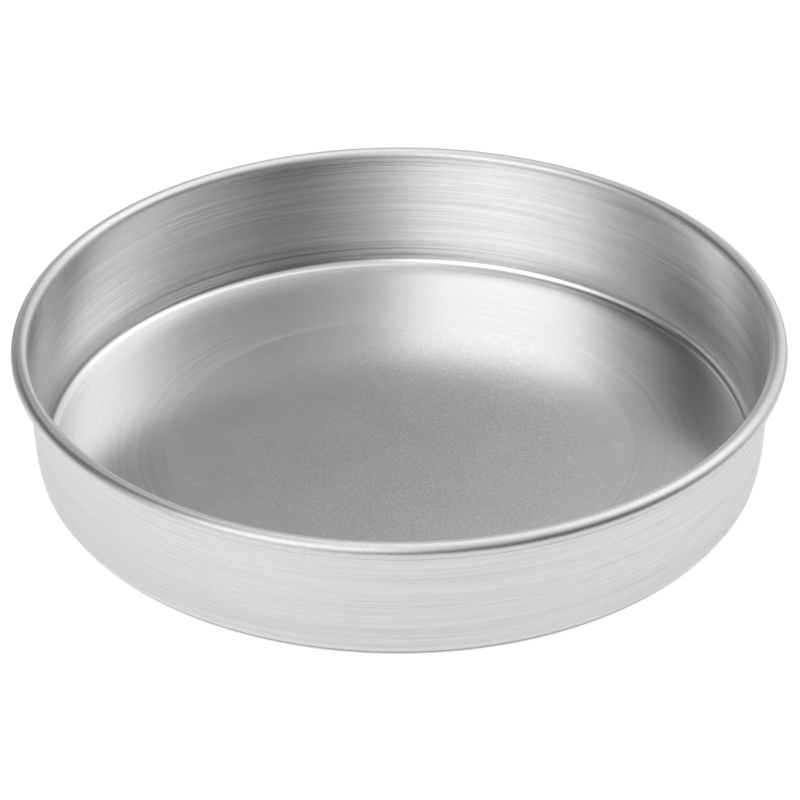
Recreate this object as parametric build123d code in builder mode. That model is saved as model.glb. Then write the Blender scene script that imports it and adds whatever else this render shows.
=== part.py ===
from build123d import *

import os
from math import acos, cos, degrees, radians, sin, tan

# A round cake tin, standing upright with its mouth up. The origin is in the middle of the
# underside, on the surface that the tin stands on. Lengths are in millimetres, angles in degrees.

# Sizes of the shell, one sheet drawn to a dish and spun
mouth_diameter = 254.0  # inside, where the wall runs into the rolled rim
height = 47.6  # from the underside to the top of the rolled rim
sheet = 1.0  # thickness of the metal everywhere
wall_lean = 2.6  # how far the wall leans out from upright, in degrees

# The floor turns up into the wall by a tight bend and then a slack one, both measured inside
corner_radius = 4.0
flank_radius = 40.0
flank_turn = 11.0  # the slack bend's share of the whole turn, in degrees

# Sizes of the rolled rim: the sheet curls outwards and down, round a wire
wire_diameter = 3.8
wire_clearance = 0.05  # left all round the wire, so that the two solids don't overlap
curl_edge_gap = 0.3  # from the cut edge of the curl to the outside of the wall
wire_butt_gap = 0.6  # between the two ends of the wire, which are butted and not welded

lean = radians(wall_lean)

# The rolled rim's section is an open ring, with the wire in the middle
curl_inside_radius = wire_diameter / 2 + wire_clearance
curl_outside_radius = curl_inside_radius + sheet
wire_ring_radius = mouth_diameter / 2 + curl_outside_radius * cos(lean)
wire_ring_height = height - curl_outside_radius
wire_centre = (wire_ring_radius, wire_ring_height)

# The curl leaves the wall at its tangent, goes over the top and stops short of the wall's outside
curl_start = 180 - wall_lean
curl_turn = 360 - degrees(acos((curl_inside_radius - curl_edge_gap) / curl_outside_radius))
wall_top = wire_ring_height + curl_outside_radius * sin(lean)

# How far out and up the two bends reach, from the edge of the flat floor to the straight wall
corner_turn = 90 - wall_lean - flank_turn
tight = radians(corner_turn)
corner_reach = corner_radius * sin(tight)
corner_rise = corner_radius * (1 - cos(tight))
flank_reach = flank_radius * (cos(lean) - sin(tight))
flank_rise = flank_radius * (cos(tight) - sin(lean))

# The flat floor ends where the bends begin, so that the wall above them meets the rolled rim
straight_wall = wall_top - sheet - corner_rise - flank_rise
floor_edge = mouth_diameter / 2 - straight_wall * tan(lean) - corner_reach - flank_reach

with BuildPart() as pan_shell:
    with BuildSketch(Plane.XZ):
        outwards = (1, 0)
        with BuildLine():
            corner_inside = JernArc((floor_edge, sheet), outwards, corner_radius, corner_turn)
            flank_inside = JernArc(corner_inside @ 1, corner_inside % 1, flank_radius, flank_turn)
            curl_outside = CenterArc(wire_centre, curl_outside_radius, curl_start, -curl_turn)
            Line(flank_inside @ 1, curl_outside @ 0)
            corner_outside = JernArc((floor_edge, 0), outwards, corner_radius + sheet, corner_turn)
            flank_outside = JernArc(corner_outside @ 1, corner_outside % 1, flank_radius + sheet, flank_turn)
            curl_inside = CenterArc(wire_centre, curl_inside_radius, curl_start, -curl_turn)
            Line(flank_outside @ 1, curl_inside @ 0)
            Line(curl_outside @ 1, curl_inside @ 1)
            Polyline(corner_inside @ 0, (0, sheet), (0, 0), corner_outside @ 0)
        make_face()
    revolve(axis=Axis.Z)

with BuildPart() as rim_wire:
    with BuildSketch(Plane.YZ):
        with Locations(wire_centre):
            Circle(wire_diameter / 2)
    revolve(axis=Axis.Z, revolution_arc=360 - degrees(wire_butt_gap / wire_ring_radius))

pan_shell.part.label = "pan_shell"
rim_wire.part.label = "rim_wire"

os.makedirs("parts", exist_ok=True)
export_step(pan_shell.part, "parts/pan_shell.step")
export_step(rim_wire.part, "parts/rim_wire.step")
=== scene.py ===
from math import acos, cos, pi, radians, sin, tan

import bpy
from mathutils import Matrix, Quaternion, Vector


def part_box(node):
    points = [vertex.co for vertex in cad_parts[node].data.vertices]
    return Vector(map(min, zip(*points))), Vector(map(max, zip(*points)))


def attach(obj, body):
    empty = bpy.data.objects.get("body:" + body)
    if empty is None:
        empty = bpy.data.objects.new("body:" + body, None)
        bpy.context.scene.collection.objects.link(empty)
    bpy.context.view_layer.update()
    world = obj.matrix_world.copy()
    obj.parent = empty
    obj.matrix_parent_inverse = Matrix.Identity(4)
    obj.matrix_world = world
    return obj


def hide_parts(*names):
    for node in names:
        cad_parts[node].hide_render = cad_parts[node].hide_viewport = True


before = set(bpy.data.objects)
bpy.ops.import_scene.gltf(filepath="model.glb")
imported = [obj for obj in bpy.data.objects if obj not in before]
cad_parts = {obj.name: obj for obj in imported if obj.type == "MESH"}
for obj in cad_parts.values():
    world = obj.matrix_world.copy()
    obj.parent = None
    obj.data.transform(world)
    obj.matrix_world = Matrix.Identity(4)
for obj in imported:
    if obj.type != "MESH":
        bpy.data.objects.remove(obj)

# A round cake tin in bare aluminium on a white table. Lengths are in metres. Angles are in radians,
# apart from the lists that say degrees. The camera stands on the -Y side of the tin.

bpy.context.view_layer.update()
scene = bpy.context.scene

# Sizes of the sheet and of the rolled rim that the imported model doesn't state by itself
sheet = 0.001
wire_radius = 0.0019
wire_clearance = 0.00005
curl_edge_gap = 0.0003
corner_radius = 0.004
flank_radius = 0.040
flank_turn = radians(11.0)
wall_lean = radians(2.6)

shell_low, shell_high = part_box("pan_shell")
rim_radius = min(shell_high.x, shell_high.y, -shell_low.x, -shell_low.y)
rim_height = shell_high.z

curl_inside = wire_radius + wire_clearance
curl_outside = curl_inside + sheet
wire_ring_radius = rim_radius - curl_outside
wire_ring_height = rim_height - curl_outside
mouth_radius = wire_ring_radius - curl_outside * cos(wall_lean)
wall_top = wire_ring_height + curl_outside * sin(wall_lean)

# The floor is worked smooth from this radius outwards, and has the grain of the sheet within it
band_inner_radius = 0.082

# How finely the section is turned, and how many steps each of its stretches has
turned_segments = 512
floor_steps = 10
band_steps = 6
corner_steps = 20
flank_steps = 14
wall_steps = 10
curl_outside_steps = 44
curl_inside_steps = 20
underside_steps = 12

# Finishes of the turned metal, each as (tone, roughness, anisotropy, contrast of its lines, mottle)
band_finish = (0.91, 0.23, 0.60, 0.14, 0.06)
corner_finish = (0.93, 0.25, 0.50, 0.14, 0.06)
wall_finish = (0.89, 0.25, 0.95, 0.40, 0.10)
rim_finish = (0.90, 0.36, 0.78, 0.06, 0.18)

# Lines in the metal, each as (scale round the axis, scale along the section, seed)
fine_lines = (20.0, 2300.0, 0.0)
broad_lines = (11.0, 780.0, 40.0)
arc_lines = (22.0, 1500.0, 7.0)

# The lines of the turned metal: how strong each kind is, and where they come and go
fine_strength = 1.1
broad_strength = 0.9
broad_roughness = 0.08
faint_patch_scale = 13.0
faint_patch_noise = (0.35, 0.65)
faint_patch_strength = 0.5
clearest_azimuth = radians(-8.0)
clearest_reach = radians(60.0)
less_clear_share = 0.9

# Grain and small dents of the turned metal
turned_grain_scale = 900.0
dent_scale = 230.0
dent_depth = 0.00005

# Dark rings, each as (height, half width, depth of tone, azimuth, reach of azimuth). The high rings are tool
# marks; the low rings and the rim rings are painted shade.
# Azimuth is in degrees from the side away from the camera.
high_rings = [
    (0.0438, 0.00060, 0.30, -12.0, 34.0),
    (0.0427, 0.00060, 0.36, -8.0, 30.0),
    (0.0415, 0.00060, 0.24, -18.0, 26.0),
    (0.0402, 0.00060, 0.12, -6.0, 30.0),
    (0.0431, 0.00050, 0.22, 47.0, 15.0),
    (0.0421, 0.00050, 0.26, 46.0, 17.0),
    (0.0409, 0.00050, 0.14, 43.0, 15.0),
]
# Painted shade and dark reflections low on the inner wall and in the corner: these rings darken the tone
# where the wall meets the floor.
painted_shade_low_rings = [
    (0.0132, 0.00080, 0.08, -8.0, 40.0),
    (0.0105, 0.00080, 0.12, -16.0, 50.0),
    (0.0079, 0.00070, 0.38, -26.0, 48.0),
    (0.0052, 0.00090, 0.30, 2.0, 20.0),
    (0.0042, 0.00110, 0.38, -24.0, 32.0),
    (0.0043, 0.00120, 0.34, 54.0, 24.0),
]
# Painted shade under the bead, at the front and right, on the outside of the rim.
painted_shade_rim_rings = [
    (0.0428, 0.00130, 0.50, 142.0, 54.0),
    (0.0461, 0.00090, 0.36, 156.0, 44.0),
]

# The rings waver up and down by this much
ring_wobble = 0.0008
ring_wobble_scale = 140.0

# The sheet of the floor and underside: its tone and roughness, and the clouds in both
sheet_tone = 0.90
sheet_tone_clouds = 0.05
sheet_roughness = 0.22
sheet_roughness_clouds = 0.03
cloud_scale = 45.0

# Its grain, which fades from one radius to the band
sheet_grain_scale = 1050.0
middle_grain = 0.44
edge_grain = 0.14
grain_fade_radius = 0.055

# Its pale marks are the rare peaks of a noise, between these two levels
mark_noise = (0.74, 0.82)
mark_strength = 0.14
speck_scale = 620.0

# Thin scratches on the floor, each as (heading, scale along, scale across, seed)
floor_scratches = [
    (radians(12.0), 210.0, 1500.0, 3.0),
    (radians(-34.0), 260.0, 1700.0, 17.0),
    (radians(78.0), 240.0, 1600.0, 29.0),
]

# Faint arcs round the axis, which come in between these two radii
arc_noise = (0.58, 0.72)
arc_radii = (0.074, 0.100)
arc_strength = 0.05

# The wire: its tone and roughness, and how much its spangle changes both
wire_tone = 0.52
wire_roughness = 0.40
spangle_spread = 0.2
spangle_scale = 900.0
spangle_bump = 0.4
spangle_depth = 0.00005

# The table, with painted light. It is paler on the camera's side, and glows a little more on the left for
# the metal that mirrors it.
table_radius = 0.40
table_drop = 0.0002
table_sides = 96
table_front = (0.14, 0.02)
table_left = (0.05, -0.15)
table_back_tone = 0.45
table_front_tone = 0.80
table_painted_glow = 0.27
table_painted_glow_left = 0.08

# What the camera sees of it: nearly its own white light, with a painted contact shadow where the tin stands
table_seen_tone = 0.16
table_seen_light = 0.93
painted_contact_shadow_glow = 0.25
painted_contact_shadow_radii = (0.1234, 0.1221)

# The studio is pale low down and paler overhead, with soft patches on it, each as (azimuth, elevation,
# half width, half height, softness, level). Azimuth 0 is away from the camera and grows to the right.
# These angles are in degrees, and a level of 1 is white.
studio_low = 0.50
studio_high = 0.85
studio_high_elevation = radians(80.0)
studio_patches = [
    (35.0, 66.0, 80.0, 22.0, 0.5, 1.08),
    (65.0, 44.0, 28.0, 18.0, 0.5, 1.26),
    (20.0, 8.0, 55.0, 16.0, 0.5, 0.83),
    (-75.0, 9.0, 50.0, 11.0, 0.5, 0.42),
    (-48.0, 0.0, 24.0, 13.0, 0.5, 0.34),
    (-95.0, 71.0, 55.0, 14.0, 0.5, 0.43),
    (-67.0, 51.0, 34.0, 17.0, 0.35, 0.02),
    (-57.0, 23.0, 35.0, 12.0, 0.45, 0.02),
    (-7.0, 26.0, 15.0, 13.0, 0.5, 0.16),
    (150.0, 58.0, 36.0, 14.0, 0.5, 0.54),
    (-115.0, -4.0, 50.0, 12.0, 0.5, 0.77),
    (-150.0, 11.0, 40.0, 11.0, 0.5, 0.26),
    (-145.0, 39.0, 38.0, 18.0, 0.35, 1.55),
    (127.0, 14.0, 43.0, 24.0, 0.45, 0.02),
    (172.0, 4.0, 28.0, 14.0, 0.5, 0.03),
    (102.0, -7.0, 50.0, 13.0, 0.5, 0.02),
    (178.0, -14.0, 36.0, 12.0, 0.5, 0.05),
]

# The view of the photograph. The lens and the sensor are in millimetres.
camera_distance = 1.2125
camera_elevation = radians(32.349)
camera_roll = radians(-0.1436)
camera_lens = 156.96
camera_sensor = 36.0
camera_shift = 0.0008
camera_clip_start = 0.01
aim_height = 0.018257

# Colours: aluminium is slightly warm
aluminium = (1.0, 0.999, 0.993)
neutral = (1.0, 1.0, 1.0)
white = (1.0, 1.0, 1.0, 1.0)


def node(tree, kind, settings=None, **inputs):
    """Adds a node. An input is a socket to link or a value to set; its name has _ for a space."""
    made = tree.nodes.new(kind)
    for name, value in (settings or {}).items():
        setattr(made, name, value)
    for name, value in inputs.items():
        connect(tree, made.inputs[name.replace("_", " ")], value)
    return made


def connect(tree, socket, value):
    """Links a socket to another one, or sets its value."""
    if isinstance(value, bpy.types.NodeSocket):
        tree.links.new(value, socket)
    else:
        socket.default_value = value


def math(tree, operation, *values):
    """The result of a Math node on sockets or numbers."""
    made = tree.nodes.new("ShaderNodeMath")
    made.operation = operation
    for socket, value in zip(made.inputs, values):
        connect(tree, socket, value)
    return made.outputs[0]


def ramp(tree, value, low, high, at_low=0.0, at_high=1.0):
    """Goes smoothly from one level to the other while the value goes from low to high."""
    made = node(
        tree,
        "ShaderNodeMapRange",
        {"interpolation_type": "SMOOTHSTEP"},
        Value=value,
        From_Min=low,
        From_Max=high,
        To_Min=at_low,
        To_Max=at_high,
    )
    return made.outputs["Result"]


def blend(tree, factor, first, second):
    """A number between first and second."""
    made = tree.nodes.new("ShaderNodeMix")
    made.data_type = "FLOAT"
    connect(tree, made.inputs[0], factor)
    connect(tree, made.inputs[2], first)
    connect(tree, made.inputs[3], second)
    return made.outputs[0]


def about(tree, noise, middle, spread):
    """A noise that runs from 0 to 1, moved to lie about a middle level."""
    return math(tree, "MULTIPLY_ADD", noise, spread, middle - spread / 2)


def grey(tree, level, tint=aluminium):
    """A colour of that level, with a slight tint."""
    made = node(
        tree,
        "ShaderNodeCombineColor",
        Red=math(tree, "MULTIPLY", level, tint[0]),
        Green=math(tree, "MULTIPLY", level, tint[1]),
        Blue=math(tree, "MULTIPLY", level, tint[2]),
    )
    return made.outputs["Color"]


def turn_from(tree, azimuth, middle):
    """The angle from a middle azimuth, at most half a turn either way."""
    return math(tree, "WRAP", math(tree, "SUBTRACT", azimuth, middle), pi, -pi)


def seen_directly(tree, path):
    """1 for rays from the camera and through glass, and 0 for the others."""
    return math(tree, "MAXIMUM", path.outputs["Is Camera Ray"], path.outputs["Is Transmission Ray"])


def new_metal(name):
    """A metal material, its node tree and its shader."""
    material = bpy.data.materials.new(name)
    material.use_nodes = True
    shader = material.node_tree.nodes["Principled BSDF"]
    shader.inputs["Metallic"].default_value = 1.0
    return material, material.node_tree, shader


def arc(centre, radius, start, turn, steps):
    """Points of an arc in the section's plane, from its start angle on, both ends included."""
    angles = [start + turn * step / steps for step in range(steps + 1)]
    return [(centre[0] + radius * cos(a), centre[1] + radius * sin(a)) for a in angles]


def line(start, end, steps):
    """Points of a straight stretch, without its two ends."""
    shares = [step / steps for step in range(1, steps)]
    return [(start[0] + (end[0] - start[0]) * s, start[1] + (end[1] - start[1]) * s) for s in shares]


def shell_section():
    """The section of the shell from the middle of the floor round to the middle of the underside.

    Returns the points as (radius, height) and, for each stretch after a point, its finish."""
    tight_turn = pi / 2 - wall_lean - flank_turn
    reach = corner_radius * sin(tight_turn) + flank_radius * (cos(wall_lean) - sin(tight_turn))
    rise = corner_radius * (1 - cos(tight_turn)) + flank_radius * (cos(tight_turn) - sin(wall_lean))
    floor_edge = mouth_radius - (wall_top - sheet - rise) * tan(wall_lean) - reach
    corner_height = sheet + corner_radius
    corner_centre = (floor_edge, corner_height)
    slack = flank_radius - corner_radius
    flank_centre = (floor_edge - slack * sin(tight_turn), corner_height + slack * cos(tight_turn))
    flank_start = tight_turn - pi / 2
    wire_centre = (wire_ring_radius, wire_ring_height)
    curl_start = pi - wall_lean
    curl_turn = 2 * pi - acos((curl_inside - curl_edge_gap) / curl_outside)

    floor_middle = (0.0, sheet)
    underside_middle = (0.0, 0.0)
    band_start = (band_inner_radius, sheet)
    corner = arc(corner_centre, corner_radius, -pi / 2, tight_turn, corner_steps)
    flank = arc(flank_centre, flank_radius, flank_start, flank_turn, flank_steps)
    curl_out = arc(wire_centre, curl_outside, curl_start, -curl_turn, curl_outside_steps)
    curl_in = arc(wire_centre, curl_inside, curl_start - curl_turn, curl_turn, curl_inside_steps)
    flank_back = arc(flank_centre, flank_radius + sheet, -wall_lean, -flank_turn, flank_steps)
    heel = arc(corner_centre, corner_radius + sheet, flank_start, -tight_turn, corner_steps)
    wall = line(flank[-1], curl_out[0], wall_steps)
    wall_back = line(curl_in[-1], flank_back[0], wall_steps)
    underside = line(heel[-1], underside_middle, underside_steps)

    stretches = [
        ("floor", [floor_middle] + line(floor_middle, band_start, floor_steps)),
        ("band", [band_start] + line(band_start, corner[0], band_steps)),
        ("corner", corner[:-1]),
        ("wall", flank + wall),
        ("rim", curl_out),
        ("rim", curl_in),
        ("wall", wall_back + flank_back[:-1]),
        ("corner", heel[:-1]),
        ("floor", [heel[-1]] + underside + [underside_middle]),
    ]
    points = [point for finish, stretch in stretches for point in stretch]
    finishes = [finish for finish, stretch in stretches for point in stretch]
    return points, finishes


def turned_mesh(name, points, finishes, order, segments):
    """Turns a section that starts and ends on the axis once round, as one closed mesh."""
    rings = points[1:-1]
    vertices = [(0.0, 0.0, points[0][1])]
    for radius, height in rings:
        for step in range(segments):
            angle = 2 * pi * step / segments
            vertices.append((radius * cos(angle), radius * sin(angle), height))
    vertices.append((0.0, 0.0, points[-1][1]))
    last = len(vertices) - 1

    faces = []
    indices = []
    for step in range(segments):
        after = (step + 1) % segments
        faces.append((0, 1 + step, 1 + after))
        indices.append(order.index(finishes[0]))
    for ring in range(len(rings) - 1):
        here = 1 + ring * segments
        there = here + segments
        for step in range(segments):
            after = (step + 1) % segments
            faces.append((here + step, there + step, there + after, here + after))
            indices.append(order.index(finishes[ring + 1]))
    here = 1 + (len(rings) - 1) * segments
    for step in range(segments):
        after = (step + 1) % segments
        faces.append((here + step, last, here + after))
        indices.append(order.index(finishes[-1]))

    mesh = bpy.data.meshes.new(name)
    mesh.from_pydata(vertices, [], faces)
    mesh.polygons.foreach_set("material_index", indices)
    mesh.shade_smooth()
    mesh.update()
    return mesh


class Turned:
    """Where a point lies on the turned tin, and noise drawn out into lines round the axis."""

    def __init__(self, tree):
        self.tree = tree
        self.place = node(tree, "ShaderNodeTexCoord").outputs["Object"]
        parts = node(tree, "ShaderNodeSeparateXYZ", Vector=self.place)
        self.x, self.y, self.height = parts.outputs
        across = node(tree, "ShaderNodeCombineXYZ", X=self.x, Y=self.y)
        length = node(tree, "ShaderNodeVectorMath", {"operation": "LENGTH"}, Vector=across.outputs[0])
        self.radius = length.outputs["Value"]
        self.azimuth = math(tree, "ARCTAN2", self.x, self.y)
        self.along = math(tree, "ADD", self.radius, self.height)
        leaned = math(tree, "MULTIPLY_ADD", self.height, -tan(wall_lean), self.radius)
        middle_of_sheet = mouth_radius + sheet / 2 - wall_top * tan(wall_lean)
        self.inside = math(tree, "LESS_THAN", leaned, middle_of_sheet)

    def noise(self, scale, detail=2.0):
        """Noise without a direction."""
        made = node(self.tree, "ShaderNodeTexNoise", Vector=self.place, Scale=scale, Detail=detail)
        return made.outputs["Fac"]

    def lines(self, kind, detail=2.0):
        """Noise that changes slowly round the axis and quickly along the section."""
        round_scale, along_scale, seed = kind
        where = node(
            self.tree,
            "ShaderNodeCombineXYZ",
            X=math(self.tree, "MULTIPLY", self.x, round_scale),
            Y=math(self.tree, "MULTIPLY", self.y, round_scale),
            Z=math(self.tree, "MULTIPLY_ADD", self.along, along_scale, seed),
        )
        made = node(self.tree, "ShaderNodeTexNoise", Vector=where.outputs[0], Scale=1.0, Detail=detail)
        return made.outputs["Fac"]

    def towards(self, x_share, y_share):
        """How far the point lies in a direction, which is given by its shares of X and Y."""
        along_x = math(self.tree, "MULTIPLY", self.x, x_share)
        along_y = math(self.tree, "MULTIPLY", self.y, y_share)
        return math(self.tree, "ADD", along_x, along_y)

    def ring(self, value, middle, half_width):
        """1 where the value is at the middle, going smoothly to 0 at half a width from it."""
        away = math(self.tree, "ABSOLUTE", math(self.tree, "SUBTRACT", value, middle))
        return ramp(self.tree, away, half_width, 0.0)


def tool_marks_and_painted_shade(turned, rings):
    """Dark rings, tool marks and painted shade as the list says, each as deep as it says in the middle of
    its stretch.
    """
    tree = turned.tree
    wobble = math(tree, "MULTIPLY_ADD", turned.noise(ring_wobble_scale), ring_wobble, turned.height)
    marks = 0.0
    for above_table, half_width, depth, middle, reach in rings:
        ring = turned.ring(wobble, above_table, half_width)
        stretch = turned.ring(turn_from(tree, turned.azimuth, radians(middle)), 0.0, radians(reach))
        marks = math(tree, "MULTIPLY_ADD", math(tree, "MULTIPLY", ring, stretch), depth, marks)
    return marks


def turned_metal(name, finish, inner_rings=(), outer_rings=()):
    """Aluminium that was worked while it turned, with lines round the axis, and any dark rings it is given:
    tool marks, and painted shade.

    Its microscopic grooves lie along those lines, so a highlight is drawn out across them."""
    tone, roughness, anisotropy, contrast, mottle = finish
    material, tree, shader = new_metal(name)
    turned = Turned(tree)

    fine = turned.lines(fine_lines)
    broad = turned.lines(broad_lines)
    grain = turned.noise(turned_grain_scale)
    dents = turned.noise(dent_scale)
    patchy = ramp(tree, turned.noise(faint_patch_scale), *faint_patch_noise, faint_patch_strength, 1.0)
    near_clearest = turned.ring(turned.azimuth, clearest_azimuth, clearest_reach)
    clearest = math(tree, "MULTIPLY", near_clearest, turned.inside)
    strength = math(tree, "MULTIPLY", patchy, blend(tree, clearest, less_clear_share * contrast, contrast))
    fine_streaks = about(tree, fine, 0.0, fine_strength)
    streaks = math(tree, "ADD", fine_streaks, about(tree, broad, 0.0, broad_strength))
    level = math(tree, "MULTIPLY_ADD", streaks, strength, about(tree, grain, tone, mottle))
    # Inner rings: tool marks high on the wall, and painted shade low on the wall and in the corner.
    if inner_rings:
        marks = math(tree, "MULTIPLY", tool_marks_and_painted_shade(turned, inner_rings), turned.inside)
        level = math(tree, "SUBTRACT", level, marks)
    # Outer rings: painted shade under the bead.
    if outer_rings:
        outside = math(tree, "SUBTRACT", 1.0, turned.inside)
        marks = math(tree, "MULTIPLY", tool_marks_and_painted_shade(turned, outer_rings), outside)
        level = math(tree, "SUBTRACT", level, marks)
    connect(tree, shader.inputs["Base Color"], grey(tree, level))
    connect(tree, shader.inputs["Roughness"], about(tree, broad, roughness, broad_roughness))
    bump = node(tree, "ShaderNodeBump", Strength=1.0, Distance=dent_depth * mottle, Height=dents)
    connect(tree, shader.inputs["Normal"], bump.outputs["Normal"])
    tangent = node(tree, "ShaderNodeTangent", {"direction_type": "RADIAL", "axis": "Z"})
    connect(tree, shader.inputs["Tangent"], tangent.outputs["Tangent"])
    shader.inputs["Anisotropic"].default_value = anisotropy
    # A quarter of a turn lays the grooves along the lines
    shader.inputs["Anisotropic Rotation"].default_value = 0.25
    return material


def scratches(turned, heading, length_scale, width_scale, seed):
    """Sparse thin marks that run one way, 0 to 1."""
    tree = turned.tree
    where = node(
        tree,
        "ShaderNodeCombineXYZ",
        X=math(tree, "MULTIPLY", turned.towards(cos(heading), sin(heading)), length_scale),
        Y=math(tree, "MULTIPLY", turned.towards(-sin(heading), cos(heading)), width_scale),
        Z=seed,
    )
    made = node(tree, "ShaderNodeTexNoise", Vector=where.outputs[0], Scale=1.0, Detail=0.0)
    return ramp(tree, made.outputs["Fac"], *mark_noise)


def sheet_metal():
    """The metal of the floor and underside, with the grain of rolled sheet and a few scratches."""
    material, tree, shader = new_metal("sheet_metal")
    turned = Turned(tree)
    grain = turned.noise(sheet_grain_scale)
    clouds = turned.noise(cloud_scale, 3.0)

    strength = ramp(tree, turned.radius, grain_fade_radius, band_inner_radius, middle_grain, edge_grain)
    speckle = math(tree, "MULTIPLY", about(tree, grain, 0.0, 1.0), strength)
    level = math(tree, "ADD", speckle, about(tree, clouds, sheet_tone, sheet_tone_clouds))
    marks = ramp(tree, turned.noise(speck_scale, 0.0), *mark_noise)
    for scratch in floor_scratches:
        marks = math(tree, "MAXIMUM", marks, scratches(turned, *scratch))
    level = math(tree, "MULTIPLY_ADD", marks, mark_strength, level)
    arcs = ramp(tree, turned.lines(arc_lines, 1.0), *arc_noise)
    edge = ramp(tree, turned.radius, *arc_radii)
    level = math(tree, "MULTIPLY_ADD", math(tree, "MULTIPLY", arcs, edge), arc_strength, level)
    connect(tree, shader.inputs["Base Color"], grey(tree, level))
    connect(tree, shader.inputs["Roughness"], about(tree, clouds, sheet_roughness, sheet_roughness_clouds))
    return material


def wire_steel():
    """Galvanised wire, which only shows at the narrow slot under the rim."""
    material, tree, shader = new_metal("wire_steel")
    place = node(tree, "ShaderNodeTexCoord").outputs["Object"]
    noise = node(tree, "ShaderNodeTexNoise", Vector=place, Scale=spangle_scale, Detail=3.0)
    spangle = noise.outputs["Fac"]
    connect(tree, shader.inputs["Base Color"], grey(tree, about(tree, spangle, wire_tone, spangle_spread)))
    connect(tree, shader.inputs["Roughness"], about(tree, spangle, wire_roughness, spangle_spread))
    bump = node(tree, "ShaderNodeBump", Strength=spangle_bump, Distance=spangle_depth, Height=spangle)
    connect(tree, shader.inputs["Normal"], bump.outputs["Normal"])
    return material


def build_shell():
    """The spun shell, in the place of its CAD node."""
    points, finishes = shell_section()
    metals = {
        "floor": sheet_metal(),
        "band": turned_metal("band_metal", band_finish),
        "corner": turned_metal("corner_metal", corner_finish, inner_rings=painted_shade_low_rings),
        "wall": turned_metal("wall_metal", wall_finish, inner_rings=high_rings + painted_shade_low_rings),
        "rim": turned_metal("rim_metal", rim_finish, outer_rings=painted_shade_rim_rings),
    }
    mesh = turned_mesh("cake_tin_shell", points, finishes, list(metals), turned_segments)
    for metal in metals.values():
        mesh.materials.append(metal)
    shell = bpy.data.objects.new("cake_tin_shell", mesh)
    scene.collection.objects.link(shell)
    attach(shell, "root")
    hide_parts("pan_shell")


def dress_wire():
    """Gives the wire, which stays as the CAD made it, its steel."""
    steel = wire_steel()
    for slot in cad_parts["rim_wire"].material_slots:
        slot.material = steel


def white_table():
    """White for the camera, a pale grey with painted light and a glow for the metal that mirrors it, and
    clear from below.
    """
    material = bpy.data.materials.new("white_table")
    material.use_nodes = True
    tree = material.node_tree
    tree.nodes.clear()
    path = node(tree, "ShaderNodeLightPath")
    seen = seen_directly(tree, path)
    turned = Turned(tree)
    painted_light_front = ramp(tree, turned.y, *table_front)
    painted_glow_left_mask = ramp(tree, turned.x, *table_left)
    # Painted contact shadow: the white glow falls near the tin's foot.
    painted_contact_shadow = ramp(tree, turned.radius, *painted_contact_shadow_radii)

    # Painted light: paler towards the front for rays other than the camera's.
    tone = blend(tree, seen, blend(tree, painted_light_front, table_back_tone, table_front_tone), table_seen_tone)
    lit = node(tree, "ShaderNodeBsdfDiffuse", Color=grey(tree, tone, neutral))
    # Painted light: a glow that only the metal's reflections see, more at the front and on the left.
    sideways = math(tree, "MULTIPLY_ADD", painted_glow_left_mask, table_painted_glow_left, table_painted_glow)
    painted_glow_for_metal = math(tree, "MULTIPLY", math(tree, "MULTIPLY", painted_light_front, sideways), path.outputs["Is Glossy Ray"])
    glow_level = blend(tree, seen, painted_glow_for_metal, blend(tree, painted_contact_shadow, table_seen_light, painted_contact_shadow_glow))
    glow = node(tree, "ShaderNodeEmission", Color=white, Strength=glow_level)
    both = node(tree, "ShaderNodeAddShader")
    tree.links.new(lit.outputs[0], both.inputs[0])
    tree.links.new(glow.outputs[0], both.inputs[1])
    clear = node(tree, "ShaderNodeBsdfTransparent")
    behind = node(tree, "ShaderNodeNewGeometry").outputs["Backfacing"]
    surface = node(tree, "ShaderNodeMixShader", Fac=behind)
    tree.links.new(both.outputs[0], surface.inputs[1])
    tree.links.new(clear.outputs[0], surface.inputs[2])
    node(tree, "ShaderNodeOutputMaterial", Surface=surface.outputs[0])
    return material


def build_table():
    """A round table top just under the tin."""
    angles = [2 * pi * step / table_sides for step in range(table_sides)]
    vertices = [(table_radius * cos(a), table_radius * sin(a), -table_drop) for a in angles]
    mesh = bpy.data.meshes.new("table_top")
    mesh.from_pydata(vertices, [], [tuple(range(table_sides))])
    mesh.materials.append(white_table())
    table = bpy.data.objects.new("table_top", mesh)
    scene.collection.objects.link(table)


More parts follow.
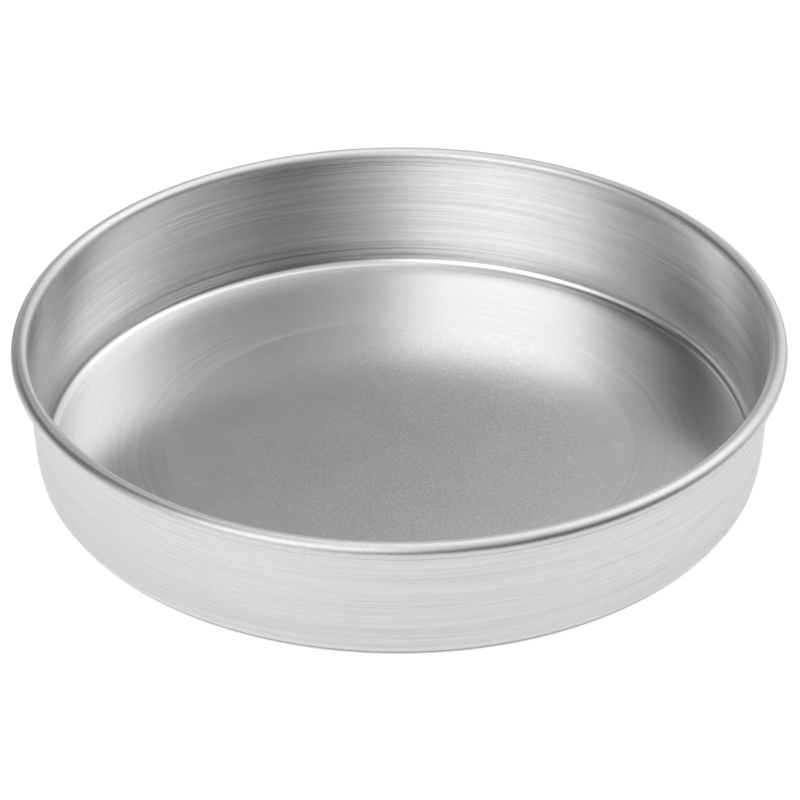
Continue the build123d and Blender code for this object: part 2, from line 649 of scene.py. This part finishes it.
def build_studio():
    """The light: pale walls with soft paler and darker patches, and white for the camera."""
    world = bpy.data.worlds.new("studio")
    scene.world = world
    world.use_nodes = True
    tree = world.node_tree
    tree.nodes.clear()
    direction = node(tree, "ShaderNodeTexCoord").outputs["Generated"]
    parts = node(tree, "ShaderNodeSeparateXYZ", Vector=direction)
    azimuth = math(tree, "ARCTAN2", parts.outputs["X"], parts.outputs["Y"])
    elevation = math(tree, "ARCSINE", parts.outputs["Z"])
    level = ramp(tree, elevation, 0.0, studio_high_elevation, studio_low, studio_high)
    for centre, up, half_width, half_height, softness, patch_level in studio_patches:
        aside = math(tree, "DIVIDE", turn_from(tree, azimuth, radians(centre)), radians(half_width))
        above = math(tree, "DIVIDE", math(tree, "SUBTRACT", elevation, radians(up)), radians(half_height))
        squares = math(tree, "ADD", math(tree, "POWER", aside, 2.0), math(tree, "POWER", above, 2.0))
        inside = ramp(tree, math(tree, "SQRT", squares), 1 + softness, 1 - softness)
        level = blend(tree, inside, level, patch_level)
    seen = seen_directly(tree, node(tree, "ShaderNodeLightPath"))
    light = node(tree, "ShaderNodeBackground", Color=white, Strength=blend(tree, seen, level, 1.0))
    node(tree, "ShaderNodeOutputWorld", Surface=light.outputs[0])


def build_camera():
    """The camera at the photograph's angle."""
    data = bpy.data.cameras.new("camera")
    data.lens = camera_lens
    data.sensor_width = camera_sensor
    data.sensor_fit = "HORIZONTAL"
    data.shift_x = camera_shift
    data.clip_start = camera_clip_start
    camera = bpy.data.objects.new("camera", data)
    scene.collection.objects.link(camera)
    back = Vector((0.0, -cos(camera_elevation), sin(camera_elevation)))
    camera.location = Vector((0.0, 0.0, aim_height)) + back * camera_distance
    aim = (-back).to_track_quat("-Z", "Y")
    camera.rotation_mode = "QUATERNION"
    camera.rotation_quaternion = aim @ Quaternion((0.0, 0.0, 1.0), camera_roll)
    scene.camera = camera


build_shell()
dress_wire()
build_table()
build_studio()
build_camera()
scene.view_settings.view_transform = "Standard"

bpy.context.view_layer.update()
